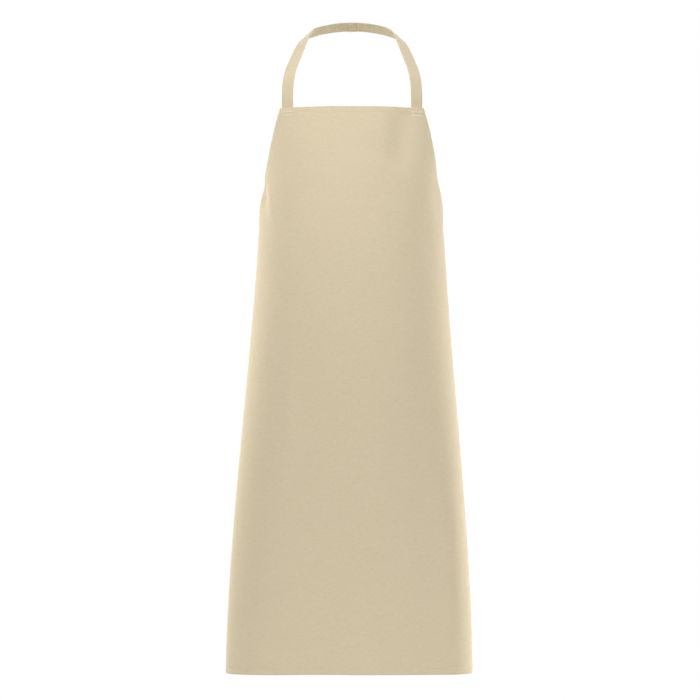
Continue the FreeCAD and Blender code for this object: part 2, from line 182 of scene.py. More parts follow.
class ApronFinish(bpy.types.PropertyGroup):
    """Colours and weave."""

    canvas: colour_property("Main colour of the cotton", (0.640, 0.555, 0.400))
    canvas_deep: colour_property("Colour of the darker yarns", (0.560, 0.476, 0.330))
    fleck: colour_property("Seed flecks in the yarn", (0.40, 0.31, 0.19))
    thread: colour_property("Colour of the sewing thread", (0.88, 0.81, 0.64))
    yarns_per_metre: FloatProperty(
        description="Warp and weft count of the plain weave", default=1100.0, min=200.0, max=4000.0,
    )


class ApronStage(bpy.types.PropertyGroup):
    """Camera, floor and lights."""

    camera_distance: length_property("Camera to the front of the cloth", 3.5)
    camera_height: length_property("Height of the camera in the row frame", -0.6503)
    lens: FloatProperty(description="Focal length in millimetres", default=93.9, min=20, max=200)
    floor_height: length_property("Height of the floor in the row frame", -1.70)
    steps_across: IntProperty(description="Panel grid cells across", default=150, min=40)


SETTINGS = {
    "apron_cut": ApronCut,
    "apron_worn": ApronWorn,
    "apron_sewing": ApronSewing,
    "apron_finish": ApronFinish,
    "apron_stage": ApronStage,
}


def settings(*names):
    """The scene's property group of that name, or several of them."""
    groups = [getattr(bpy.context.scene, f"apron_{name}") for name in names]
    return groups if len(groups) > 1 else groups[0]


# ---------------------------------------------------------------- worn shape


def eased(share):
    """Smooth step from 0 to 1."""
    held = np.clip(share, 0.0, 1.0)
    return held * held * (3 - 2 * held)


def unit(vectors):
    """Vectors scaled to length one."""
    return vectors / np.linalg.norm(vectors, axis=-1, keepdims=True)


def travelled(line):
    """Distance along a line at each of its points."""
    return np.concatenate([[0], np.cumsum(np.linalg.norm(np.diff(line, axis=0), axis=-1))])


def section(drop):
    """Half width, half depth and centre y of the section at each drop: cubics through four stations."""
    cut, worn = settings("cut", "worn")
    stations = (0.0, cut.waist_drop, worn.hip_drop, cut.length)
    results = []
    for values in (worn.half_widths, worn.half_depths, worn.forwards):
        total = np.zeros_like(drop)
        for i, value in enumerate(values):
            term = np.full_like(drop, value)
            for j, station in enumerate(stations):
                if j != i:
                    term = term * (drop - station) / (stations[i] - station)
            total = total + term
        results.append(total)
    return results[0], results[1], -results[2]


GAUSS_PLACES, GAUSS_WEIGHTS = np.polynomial.legendre.leggauss(24)
NEWTON_STEPS = 9
LAST_ANGLE = 3.1  # just short of the middle of the back, where the two sides of the cloth would meet


def arc_length(angle, half_width, half_depth):
    """Length of the ellipse's arc from the front to an angle, by Gauss-Legendre quadrature."""
    turned = 0.5 * angle[..., None] * (GAUSS_PLACES + 1.0)
    speed = np.hypot(half_width[..., None] * np.cos(turned), half_depth[..., None] * np.sin(turned))
    return 0.5 * angle * (speed @ GAUSS_WEIGHTS)


def angle_at(girth, half_width, half_depth):
    """Angle at which the arc measures girth: Newton steps on the arc's length."""
    angle = 2.0 * girth / (half_width + half_depth)
    for _ in range(NEWTON_STEPS):
        speed = np.hypot(half_width * np.cos(angle), half_depth * np.sin(angle))
        angle = angle - (arc_length(angle, half_width, half_depth) - girth) / speed
        angle = np.clip(angle, -LAST_ANGLE, LAST_ANGLE)
    return angle


# Broad folds of the cloth: girth, drop, direction in degrees (0 across, 90 down), half length,
# half width and height, all but the direction in millimetres. Heights below zero are hollows.
FOLDS = [
    (-192, 172, 82, 30, 13, -5.0),
    (-172, 188, 74, 42, 9, 1.6),
    (-206, 226, 58, 60, 14, 1.6),
    (-190, 250, 60, 55, 14, -1.4),
    (-176, 300, 66, 70, 22, 1.0),
    (190, 150, 98, 55, 18, -3.6),
    (180, 205, 108, 70, 18, 1.2),
    (214, 262, 110, 60, 15, -1.2),
    (98, 62, 100, 75, 30, -6.5),
    (66, 40, 74, 60, 24, 2.0),
    (30, 92, 24, 60, 20, -1.6),
    (50, 112, 30, 55, 16, 1.6),
    (-60, 60, 110, 90, 45, 1.4),
    (-118, 600, 96, 120, 24, 2.6),
    (-92, 690, 92, 150, 24, -1.8),
    (60, 560, 92, 220, 45, 1.4),
    (150, 760, 86, 240, 34, -2.0),
    (-170, 900, 92, 240, 34, 2.2),
    (10, 960, 91, 260, 46, -1.8),
    (110, 1010, 88, 200, 32, 2.0),
    (215, 930, 90, 260, 24, 2.0),
]


RIPPLE_HEIGHT = 0.0016  # of the slow ripple towards the bottom edge
FLAP_HEIGHT = 0.006  # of the waves in the skirt's two back edges


def folds(girth, drop):
    """How far folds lift the cloth: long Gaussian ridges, a ripple to the hem and waves at the back."""
    lift = np.zeros_like(girth)
    for place, down, direction, half_length, half_width, height in FOLDS:
        turn = math.radians(direction)
        run = (girth - place * MM) * math.cos(turn) + (drop - down * MM) * math.sin(turn)
        off = (drop - down * MM) * math.cos(turn) - (girth - place * MM) * math.sin(turn)
        lift += height * MM * np.exp(-((run / (half_length * MM)) ** 2) - (off / (half_width * MM)) ** 2)
    share = np.clip((drop - 0.35) / 0.75, 0, 1)
    ripple = np.sin(girth * 26.0 + 0.7) + 0.6 * np.sin(girth * 41.0 - 1.1 + drop * 1.4)
    behind = eased((np.abs(girth) - 0.25) / 0.10) * eased((drop - 0.42) / 0.60)
    flaps = np.sin(np.abs(girth) * 62.0 + np.where(girth < 0, 0.4, 1.9) + drop * 2.0)
    return lift + RIPPLE_HEIGHT * share * share * ripple + FLAP_HEIGHT * behind * flaps


def wrap(girth, drop, lift):
    """Point of the worn cloth: the section's ellipse at that arc length, lifted along its normal.

    x = half width * sin(angle), y = centre - half depth * cos(angle), z falls with the drop. The
    folds add to the lift, the bottom edge dips towards the sides, and the whole leans slightly.
    """
    cut, worn = settings("cut", "worn")
    girth, drop, lift = np.broadcast_arrays(girth, drop, lift)
    girth, drop = girth.astype(float), drop.astype(float)
    half_width, half_depth, centre = section(drop)
    angle = angle_at(girth, half_width, half_depth)
    away_x, away_y = np.sin(angle) / half_width, -np.cos(angle) / half_depth
    length = np.hypot(away_x, away_y)
    total = lift + folds(girth, drop)
    share = np.clip(drop / cut.length, 0, None)
    x = half_width * np.sin(angle) + total * away_x / length + worn.hang_lean * share
    y = centre - half_depth * np.cos(angle) + total * away_y / length
    aside = np.clip(np.abs(girth) / 0.28, 0, 1)
    z = -cut.nape_rise - drop - worn.hem_dip * aside * aside * share * share
    return np.stack([x, y, z], axis=-1)


def outward_at(girth, drop):
    """Unit normal of the worn section, away from the body."""
    return unit(wrap(girth, drop, MM) - wrap(girth, drop, 0.0))


# ---------------------------------------------------------------- mesh making


def make_mesh(name, points, quads, uv, finish, caps=()):
    """Mesh object from points, quads and end caps, and a place in the flat layout for each point."""
    mesh = bpy.data.meshes.new(name)
    caps = np.asarray(caps, int)
    counts = np.repeat([4, caps.shape[-1]], [len(quads), len(caps)])
    loops = np.concatenate([quads.ravel(), caps.ravel()]).astype(np.int32)
    mesh.vertices.add(len(points))
    mesh.vertices.foreach_set("co", np.ascontiguousarray(points, np.float32).ravel())
    mesh.loops.add(len(loops))
    mesh.loops.foreach_set("vertex_index", loops)
    mesh.polygons.add(len(counts))
    starts = np.concatenate([[0], np.cumsum(counts)[:-1]]).astype(np.int32)
    mesh.polygons.foreach_set("loop_start", starts)
    mesh.polygons.foreach_set("use_smooth", np.ones(len(counts), bool))
    mesh.update(calc_edges=True)
    layer = mesh.uv_layers.new(name="layout")
    layer.data.foreach_set("uv", np.ascontiguousarray(uv[loops], np.float32).ravel())
    mesh.materials.append(finish_named(finish))
    mesh.validate()
    piece = bpy.data.objects.new(name, mesh)
    bpy.context.scene.collection.objects.link(piece)
    return piece


def grid_quads(rows, columns, wrap_columns=False):
    """Quads of a grid: each cell's corners, down first and then across."""
    last = columns if wrap_columns else columns - 1
    down, across = np.meshgrid(np.arange(rows - 1), np.arange(last), indexing="ij")
    beside = (across + 1) % columns
    corners = (down * columns + across, (down + 1) * columns + across,
               (down + 1) * columns + beside, down * columns + beside)
    return np.stack([corner.ravel() for corner in corners], axis=-1)


def held_volume(points, faces):
    """Signed volume under faces: a sixth of the triple products of each face's fan of triangles."""
    total = 0.0
    for corner in range(1, faces.shape[1] - 1):
        first, second, third = (points[faces[:, index]] for index in (0, corner, corner + 1))
        total += np.einsum("ij,ij->", first, np.cross(second, third)) / 6
    return total


def facing_out(points, quads, caps):
    """Faces of closed shells, all turned over where the volume that they hold comes out negative."""
    centred = points - points.mean(axis=0)
    if held_volume(centred, quads) + held_volume(centred, caps) < 0:
        return quads[:, ::-1], caps[:, ::-1]
    return quads, caps


def make_tubes(name, points, uv, finish):
    """Closed tubes: rings of profile points carried along a path, with a cap at each end."""
    count, rows, columns = points.shape[:3]
    shift = np.arange(count)[:, None, None] * rows * columns
    quads = (grid_quads(rows, columns, wrap_columns=True)[None] + shift).reshape(-1, 4)
    ring = np.arange(columns)
    caps = np.stack([ring, (ring + (rows - 1) * columns)[::-1]])
    caps = (caps[None] + shift).reshape(-1, columns)
    points = points.reshape(-1, 3)
    quads, caps = facing_out(points, quads, caps)
    return make_mesh(name, points, quads, uv.reshape(-1, 2), finish, caps)


def make_strip(name, points, uv):
    """One canvas tube."""
    return make_tubes(name, points[None], uv[None], "cotton_canvas")


def pillow_profile(width, thickness):
    """Cross-section of a pressed strip: a thin rectangle whose two edges are half rounds."""
    radius = thickness / 2
    turn = np.linspace(-0.5 * math.pi, 0.5 * math.pi, 7)
    right = np.stack([width / 2 - radius + radius * np.cos(turn), radius * np.sin(turn)], axis=-1)
    flat = np.linspace(1, -1, 7)[1:-1] * (width / 2 - radius)
    top = np.stack([flat, np.full(5, radius)], axis=-1)
    return np.concatenate([right, top, -right, -top])


# One stitch: rings along its half length, with their radius and height as shares of the thread's.
STITCH_ALONG = np.array([-1.0, -0.92, -0.6, 0.0, 0.6, 0.92, 1.0])
STITCH_RADIUS = np.array([0.25, 0.7, 1.0, 1.0, 1.0, 0.7, 0.25])
STITCH_HEIGHT = np.array([-0.9, -0.1, 0.55, 0.8, 0.55, -0.1, -0.9])
STITCH_FILL = 0.72  # share of a stitch's pitch that its thread covers
THREAD_PITCH, THREAD_HALF = 0.003, 0.001  # a stitch in the thread's layout: its pitch and half its length


def make_stitches(name, rows, thickness=1.0):
    """Separate stitches from rows of starts, ends and normals: short bent capsules on the cloth."""
    starts, ends, normals = (np.concatenate(part) for part in zip(*rows))
    thread_radius = thickness * settings("sewing").thread_radius
    turn = np.linspace(0, 2 * math.pi, 6, endpoint=False)
    middle = 0.5 * (starts + ends)
    run = 0.5 * (ends - starts)
    forward = unit(run)
    side = unit(np.cross(forward, normals))
    up = np.cross(side, forward)
    spine = middle[:, None] + run[:, None] * STITCH_ALONG[None, :, None]
    spine = spine + up[:, None] * (STITCH_HEIGHT * thread_radius)[None, :, None]
    ring = (side[:, None, None] * np.cos(turn)[None, None, :, None]
            + up[:, None, None] * np.sin(turn)[None, None, :, None])
    points = spine[:, :, None] + ring * (STITCH_RADIUS * thread_radius)[None, :, None, None]
    distance = np.arange(len(points))[:, None, None] * THREAD_PITCH
    distance = distance + STITCH_ALONG[None, :, None] * THREAD_HALF
    uv = np.stack(np.broadcast_arrays(turn[None, None, :] * thread_radius, distance), axis=-1)
    return make_tubes(name, points, uv, "sewing_thread")


def stitch_places(length):
    """Distances at which stitches begin and end, spread evenly over a length."""
    pitch = settings("sewing").stitch_length
    count = max(2, int(length / pitch))
    pitch = length / count
    begin = (np.arange(count) + 0.5 * (1 - STITCH_FILL)) * pitch
    return begin, begin + STITCH_FILL * pitch


def stitch_path(girth, drop, lift):
    """Starts, ends and normals of stitches laid along a flat path, evenly by its worn length."""
    run = travelled(wrap(girth, drop, lift))
    begin, finish = stitch_places(run[-1])
    starts, ends, middles = ((np.interp(place, run, girth), np.interp(place, run, drop))
                             for place in (begin, finish, 0.5 * (begin + finish)))
    return wrap(*starts, lift), wrap(*ends, lift), outward_at(*middles) * math.copysign(1.0, lift)


# ---------------------------------------------------------------- finishes


def feed(tree, socket, value):
    """Link an output to a socket, or give the socket a number, a vector or a colour."""
    if isinstance(value, bpy.types.NodeSocket):
        tree.links.new(value, socket)
    elif socket.type == "RGBA":
        socket.default_value = (*value, 1.0)
    else:
        socket.default_value = value


def node(tree, kind, *inputs, **values):
    """A shader node with settings and inputs by name, and its first inputs in their order."""
    made = tree.nodes.new(kind)
    for key, value in values.items():
        if key not in made.inputs:
            setattr(made, key, value)
        elif value is not None:
            feed(tree, made.inputs[key], value)
    for socket, value in zip(made.inputs, inputs):
        if value is not None:
            feed(tree, socket, value)
    return made


def emptied_tree(owner):
    """The node tree of a material or a world, switched on and emptied."""
    owner.use_nodes = True
    owner.node_tree.nodes.clear()
    return owner.node_tree


def math_node(tree, operation, first, second=None):
    """Result of a Math node on outputs or numbers."""
    return node(tree, "ShaderNodeMath", first, second, operation=operation).outputs[0]


# A Mix node's places: share, first and second among its inputs, and the result among its outputs.
MIX_PLACES = {"FLOAT": (0, 2, 3, 0), "RGBA": (0, 6, 7, 2)}


def mixed(tree, kind, *values):
    """Result of a Mix node of numbers or colours: share, first and second are outputs or constants."""
    made = node(tree, "ShaderNodeMix", data_type=kind)
    *places, result = MIX_PLACES[kind]
    for place, value in zip(places, values):
        feed(tree, made.inputs[place], value)
    return made.outputs[result]


def remap(tree, value, low, high, out_low=0.0, out_high=1.0):
    """Result of a Map Range node from low..high to out_low..out_high, clamped."""
    return node(tree, "ShaderNodeMapRange", value, low, high, out_low, out_high).outputs[0]


def bumped(tree, height, strength, distance, normal=None):
    """Normal of a Bump node, over another normal where one is given."""
    made = node(tree, "ShaderNodeBump", Height=height, Strength=strength, Distance=distance, Normal=normal)
    return made.outputs[0]


def stretched_noise(tree, uv, across, along, detail, seed):
    """Noise on the flat layout, at two different scales across and along."""
    place = (seed, seed * 0.7, seed * 0.3)
    mapping = node(tree, "ShaderNodeMapping", uv, Scale=(across, along, 1.0), Location=place)
    noise = node(tree, "ShaderNodeTexNoise", mapping.outputs[0], Scale=1.0, Detail=detail, Roughness=0.55)
    return noise.outputs["Fac"]


def plain_weave(tree, uv, yarns):
    """Height of a plain weave: warp and weft are round yarns that go over and under each other.

    Each yarn's height is a half sine across it; a checker of the cells says which one is on top.
    """
    split = node(tree, "ShaderNodeSeparateXYZ", uv)
    heights = []
    cells = []
    for output in split.outputs[:2]:
        place = math_node(tree, "MULTIPLY", output, yarns)
        wave = math_node(tree, "SINE", math_node(tree, "MULTIPLY", place, math.pi))
        heights.append(math_node(tree, "ABSOLUTE", wave))
        cells.append(math_node(tree, "FLOOR", place))
    parity = math_node(tree, "PINGPONG", math_node(tree, "ADD", *cells), 1.0)
    warp = math_node(tree, "MULTIPLY", heights[0], math_node(tree, "MULTIPLY", heights[1], parity))
    under = math_node(tree, "SUBTRACT", 1.0, parity)
    weft = math_node(tree, "MULTIPLY", heights[1], math_node(tree, "MULTIPLY", heights[0], under))
    ridge = math_node(tree, "MAXIMUM", *heights)
    crown = math_node(tree, "ADD", warp, weft)
    return math_node(tree, "ADD", math_node(tree, "MULTIPLY", ridge, 0.35), crown), parity


def canvas_finish():
    """Plain-weave cotton canvas: slubby yarns in two shades, seed flecks, soft wear, painted shade in the
    hollows between the yarns and a slight sheen.
    """
    look = settings("finish")
    light, deep = tuple(look.canvas), tuple(look.canvas_deep)
    material = bpy.data.materials.new("cotton_canvas")
    tree = emptied_tree(material)
    uv = node(tree, "ShaderNodeUVMap", uv_map="layout").outputs[0]
    height, parity = plain_weave(tree, uv, look.yarns_per_metre)
    warp_slub = stretched_noise(tree, uv, 620.0, 130.0, 2.0, 3.1)
    weft_slub = stretched_noise(tree, uv, 110.0, 560.0, 2.0, 7.7)
    slub = mixed(tree, "FLOAT", parity, weft_slub, warp_slub)
    colour = mixed(tree, "RGBA", remap(tree, slub, 0.30, 0.72), deep, light)
    cloud = remap(tree, stretched_noise(tree, uv, 9.0, 6.0, 4.0, 11.0), 0.3, 0.7, 0.0, 0.16)
    colour = mixed(tree, "RGBA", cloud, colour, deep)
    # Painted shade: the colour turns towards the darker yarn colour where the weave is lowest, in the
    # hollows between the yarns.
    gap_shade = remap(tree, height, 0.1, 0.9, 0.30, 0.0)
    colour = mixed(tree, "RGBA", gap_shade, colour, deep)
    seeds = node(tree, "ShaderNodeTexVoronoi", uv, Scale=150.0, Randomness=1.0)
    chance = node(tree, "ShaderNodeSeparateColor", seeds.outputs["Color"])
    rare = remap(tree, chance.outputs[0], 0.93, 0.94)
    near = remap(tree, seeds.outputs["Distance"], 0.10, 0.20, 0.55, 0.0)
    colour = mixed(tree, "RGBA", math_node(tree, "MULTIPLY", rare, near), colour, tuple(look.fleck))
    weave_normal = bumped(tree, height, 0.35, 0.00025)
    shader = node(tree, "ShaderNodeBsdfPrincipled", **{
        "Base Color": colour,
        "Roughness": remap(tree, slub, 0.3, 0.7, 0.92, 0.80),
        "Normal": bumped(tree, slub, 0.35, 0.0004, weave_normal),
        "Specular IOR Level": 0.18,
        "Sheen Weight": 0.5,
        "Sheen Roughness": 0.3,
        "Sheen Tint": (1.0, 0.95, 0.85),
    })
    node(tree, "ShaderNodeOutputMaterial", shader.outputs[0])
    return material


def thread_finish():
    """Spun sewing thread: twisted strands with painted shade in the grooves between them, and a slight
    lustre.
    """
    look = settings("finish")
    material = bpy.data.materials.new("sewing_thread")
    tree = emptied_tree(material)
    uv = node(tree, "ShaderNodeUVMap", uv_map="layout").outputs[0]
    split = node(tree, "ShaderNodeSeparateXYZ", uv)
    around = math_node(tree, "MULTIPLY", split.outputs[0], 4200.0)
    along = math_node(tree, "MULTIPLY", split.outputs[1], 9000.0)
    strand = math_node(tree, "SINE", math_node(tree, "ADD", around, along))
    # Painted shade: the thread's colour darkens to this in the grooves of the twist, where the bump is
    # lowest.
    darker = tuple(channel * 0.82 for channel in look.thread)
    shader = node(tree, "ShaderNodeBsdfPrincipled", **{
        "Base Color": mixed(tree, "RGBA", remap(tree, strand, -1.0, 1.0), darker, tuple(look.thread)),
        "Roughness": 0.55,
        "Normal": bumped(tree, strand, 0.4, 0.0001),
        "Specular IOR Level": 0.35,
        "Sheen Weight": 0.2,
    })
    node(tree, "ShaderNodeOutputMaterial", shader.outputs[0])
    return material


def finish_named(name):
    """The canvas or the thread, made once."""
    made = bpy.data.materials.get(name)
    if made is None:
        made = {"cotton_canvas": canvas_finish, "sewing_thread": thread_finish}[name]()
    return made


# ---------------------------------------------------------------- edges of the cut


def armhole(share):
    """Flat place on the armhole edge: a cubic curve from the bib corner to the waist corner."""
    cut = settings("cut")
    girths = (cut.bib_half, cut.bib_half + cut.armhole_flare,
              cut.skirt_half - cut.armhole_hollow, cut.skirt_half)
    drops = (0.0, cut.armhole_run, cut.waist_drop - cut.armhole_dip, cut.waist_drop)
    rest = 1.0 - share
    weights = (rest**3, 3 * rest**2 * share, 3 * rest * share**2, share**3)
    girth = sum(weight * place for weight, place in zip(weights, girths))
    drop = sum(weight * place for weight, place in zip(weights, drops))
    return girth, drop


HEM_OVERLAP = 0.6  # share of a crossing hem's width at which a side hem begins or ends
ARMHOLE_START = 0.022  # share of the armhole above its hem, under the bib's own hem
SHARE_STEP = 0.001


def edge_line(which, count):
    """Flat line along one edge, and its inward direction.

    The bib top and the bottom run left to right; the armholes and the sides run downwards.
    """
    cut, sewing = settings("cut", "sewing")
    share = np.linspace(0, 1, count)
    kind, _, side = which.partition("_")
    sign = SIDES.get(side, 1.0)
    if kind == "bib":
        girth = cut.bib_half * (2 * share - 1)
        return girth, np.zeros(count), np.zeros(count), np.ones(count)
    if kind == "bottom":
        girth = cut.skirt_half * (2 * share - 1)
        return girth, np.full(count, cut.length), np.zeros(count), -np.ones(count)
    if kind == "side":
        top = cut.waist_drop + HEM_OVERLAP * sewing.armhole_hem
        drop = top + (cut.length - HEM_OVERLAP * sewing.bottom_hem - top) * share
        return np.full(count, sign * cut.skirt_half), drop, np.full(count, -sign), np.zeros(count)
    share = ARMHOLE_START + (1.0 - ARMHOLE_START) * share
    girth, drop = armhole(share)
    before, after = armhole(share - SHARE_STEP), armhole(share + SHARE_STEP)
    run_girth, run_drop = after[0] - before[0], after[1] - before[1]
    length = np.hypot(run_girth, run_drop)
    return sign * girth, drop, -sign * run_drop / length, run_girth / length


HEMS = {
    "bib_top_hem": ("bib", "bib_hem", 120),
    "bottom_hem": ("bottom", "bottom_hem", 300),
    "armhole_hem_left": ("armhole_left", "armhole_hem", 150),
    "armhole_hem_right": ("armhole_right", "armhole_hem", 150),
    "side_hem_left": ("side_left", "side_hem", 260),
    "side_hem_right": ("side_right", "side_hem", 260),
}


def hem_profile(width):
    """Section of a turned hem, as insets and lifts.

    It starts under the panel's face at the edge, rolls round the edge, runs back inside to its
    stitched fold and closes under itself.
    """
    cut, sewing = settings("cut", "sewing")
    half, bulk = cut.ply / 2, sewing.hem_bulk
    low = -half - bulk
    turn = np.linspace(0.42 * math.pi, -0.5 * math.pi, 9)
    middle, radius = 0.5 * (half + low), 0.5 * (half - low)
    roll = np.stack([0.1 * MM - 0.75 * radius * np.cos(turn), middle + radius * np.sin(turn)], axis=-1)
    run = np.linspace(0.15, 0.85, 5) * width
    back = np.stack([run, np.full(5, low) - 0.12 * MM * np.sin(run / width * math.pi)], axis=-1)
    fold_turn = np.linspace(-0.5 * math.pi, 0.5 * math.pi, 7)
    fold_radius = bulk / 2
    fold = np.stack([width - fold_radius + fold_radius * np.cos(fold_turn),
                     low + fold_radius + fold_radius * np.sin(fold_turn)], axis=-1)
    under = np.array([[0.5 * width, -0.3 * half], [0.45 * MM, 0.25 * half], [0.35 * MM, 0.8 * half]])
    return np.concatenate([roll, back, fold, under])


HEM_LAYOUT_SHARE = 0.2  # how far the weave moves across a hem, as a share of the way round it


def make_hem(name):
    """One turned hem, carried along its edge."""
    sewing = settings("sewing")
    which, width_name, count = HEMS[name]
    width = getattr(sewing, width_name)
    girth, drop, in_girth, in_drop = edge_line(which, count)
    profile = hem_profile(width)
    inset, lift = profile[:, 0], profile[:, 1]
    flat_girth = girth[:, None] + in_girth[:, None] * inset[None]
    flat_drop = drop[:, None] + in_drop[:, None] * inset[None]
    points = wrap(flat_girth, flat_drop, np.broadcast_to(lift, flat_girth.shape))
    around = travelled(profile)
    uv = np.stack([flat_girth + in_girth[:, None] * around * HEM_LAYOUT_SHARE,
                   flat_drop + in_drop[:, None] * around * HEM_LAYOUT_SHARE], axis=-1)
    return make_strip(name, points, uv)


# ---------------------------------------------------------------- panel


def spaced(length, fine, coarse, margin):
    """Places from 0 to length, fine within a margin of both ends and coarse between."""
    ends = np.arange(0, margin, fine)
    middle = np.linspace(margin, length - margin, max(2, int((length - 2 * margin) / coarse)))
    return np.concatenate([ends, middle, length - ends[::-1]])


def seam_grooves(girth, drop, edge_girth):
    """The pull of the stitches: a shallow groove along the bib, bottom and side stitching."""
    cut, sewing = settings("cut", "sewing")
    rows = (
        (drop, sewing.bib_hem - sewing.stitch_inset),
        (cut.length - drop, sewing.bottom_hem - sewing.stitch_inset),
        (edge_girth - np.abs(girth), sewing.side_hem - sewing.stitch_inset),
    )
    groove = np.zeros_like(girth)
    for place, line in rows:
        groove = np.maximum(groove, np.exp(-(((place - line) / (0.9 * MM)) ** 2)))
    pucker = 1.0 + 0.35 * np.sin(girth * 610.0 + 2.0 * np.sin(girth * 97.0)) * np.sin(drop * 590.0)
    return -0.32 * MM * groove * pucker


def make_panel():
    """The panel: a grid over the flat cut whose rows end on the armhole and the side edges."""
    cut, stage = settings("cut", "stage")
    share = 1.0 - (1.0 - np.linspace(0, 1, 84)) ** 1.15
    top_edge, top_drop = armhole(share)
    fine_top = np.arange(0, 15 * MM, 1.1 * MM)
    top_drop_all = np.unique(np.concatenate([fine_top, top_drop[top_drop > 15.5 * MM]]))
    top_edge_all = np.interp(top_drop_all, top_drop, top_edge)
    skirt = cut.waist_drop + spaced(cut.length - cut.waist_drop, 1.2 * MM, 5.2 * MM, 17 * MM)[1:]
    drops = np.concatenate([top_drop_all, skirt])
    edges = np.concatenate([top_edge_all, np.full(len(skirt), cut.skirt_half)])
    place = spaced(2.0, 0.0032, 2.0 / stage.steps_across, 0.028) - 1.0
    girth = edges[:, None] * place[None]
    drop = np.broadcast_to(drops[:, None], girth.shape)
    lift = cut.ply / 2 + seam_grooves(girth, drop, edges[:, None])
    points = wrap(girth, drop, lift)
    uv = np.stack([girth, drop], axis=-1)
    quads = grid_quads(*girth.shape)
    piece = make_mesh("apron_cloth", points.reshape(-1, 3), quads, uv.reshape(-1, 2), "cotton_canvas")
    wall = piece.modifiers.new("ply", "SOLIDIFY")
    wall.thickness = cut.ply
    wall.offset = -1.0
    wall.use_quality_normals = True
    return piece


def flat_area():
    """Area of the flat cut, from the armhole's curve and the straight skirt."""
    cut = settings("cut")
    edge, drop = armhole(np.linspace(0, 1, 400))
    bib = float(np.sum(0.5 * (edge[1:] + edge[:-1]) * np.diff(drop)))
    return 2 * (bib + cut.skirt_half * (cut.length - cut.waist_drop))


# ---------------------------------------------------------------- neck strap


def strap_girth():
    """Flat girth of the strap's middle line where it is sewn to the bib."""
    cut, sewing = settings("cut", "sewing")
    return cut.bib_half - sewing.strap_inset - sewing.strap_width / 2


def lap_lift(thickness):
    """Lift of the middle of a strip that lies inside the hems."""
    cut, sewing = settings("cut", "sewing")
    return -cut.ply / 2 - sewing.hem_bulk - 0.2 * MM - thickness / 2


def turned(vectors, axis, angle):
    """Vectors turned about an axis: Rodrigues' formula, for an angle at each vector."""
    angle = angle[..., None]
    along = (vectors @ axis)[..., None] * axis
    return vectors * np.cos(angle) + np.cross(axis, vectors) * np.sin(angle) + along * (1 - np.cos(angle))


def turn_between(first, last):
    """Axis and angle of the turn that takes one set of three unit vectors to another."""
    matrix = last.T @ first
    axis = np.array([matrix[2, 1] - matrix[1, 2], matrix[0, 2] - matrix[2, 0], matrix[1, 0] - matrix[0, 1]])
    return unit(axis), math.acos((np.trace(matrix) - 1) / 2)


def nape_down():
    """Direction down the strap's width at the nape."""
    lean = settings("sewing").nape_lean
    return np.array([0.0, math.sin(lean), -math.cos(lean)])


def strip_frame(across, forward):
    """Rows: across the strip, along it and out of its outer face."""
    return np.stack([across, forward, np.cross(across, forward)])


def roll_share(distance, quick_run):
    """How much of the roll over the shoulder is done at a distance along the strap half."""
    sewing = settings("sewing")
    before = distance - sewing.strap_roll_at
    gradual = eased(before / sewing.strap_roll_long + 0.5)
    quick = eased(before / quick_run + 0.5)
    return quick + (gradual - quick) * sewing.strap_roll_gradual


def strap_directions(distance, offset, seat_across, quick_run):
    """Across, along and outward directions of the right strap half at places of its flat strip.

    It leans back from the bib, rolls over the shoulder about a slanting axis, so that its inner
    face shows at the nape, and bends to the centre back. The roll comes later towards the inner
    edge, as a slanting fold of a flat strip does.
    """
    sewing = settings("sewing")
    down = nape_down()
    first = strip_frame(seat_across, np.array([0.0, 0.0, 1.0]))
    leant = turned(first, seat_across, np.full(3, -sewing.strap_lean))
    last = strip_frame(down, np.array([-1.0, 0.0, 0.0]))
    before_bend = turned(last, down, np.full(3, sewing.nape_bend))
    axis, angle = turn_between(leant, before_bend)
    slant = sewing.roll_slant * (axis @ leant[1]) / (axis @ leant[0])
    whole = roll_share(sewing.strap_length, quick_run)
    leaning = -sewing.strap_lean * eased(distance / sewing.strap_lean_run)
    rolling = angle * roll_share(distance - slant * offset, quick_run) / whole
    after = (distance - sewing.strap_roll_at) / (sewing.strap_length - sewing.strap_roll_at)
    bending = -sewing.nape_bend * np.clip(after, 0, 1)
    directions = []
    for start in first:
        line = np.broadcast_to(start, (*distance.shape, 3))
        line = turned(line, seat_across, leaning)
        line = turned(line, axis, rolling)
        directions.append(turned(line, down, bending))
    return directions


STRAP_RINGS = 200
NAPE_RINGS = 600  # finer, to pick out single distances near the centre back seam


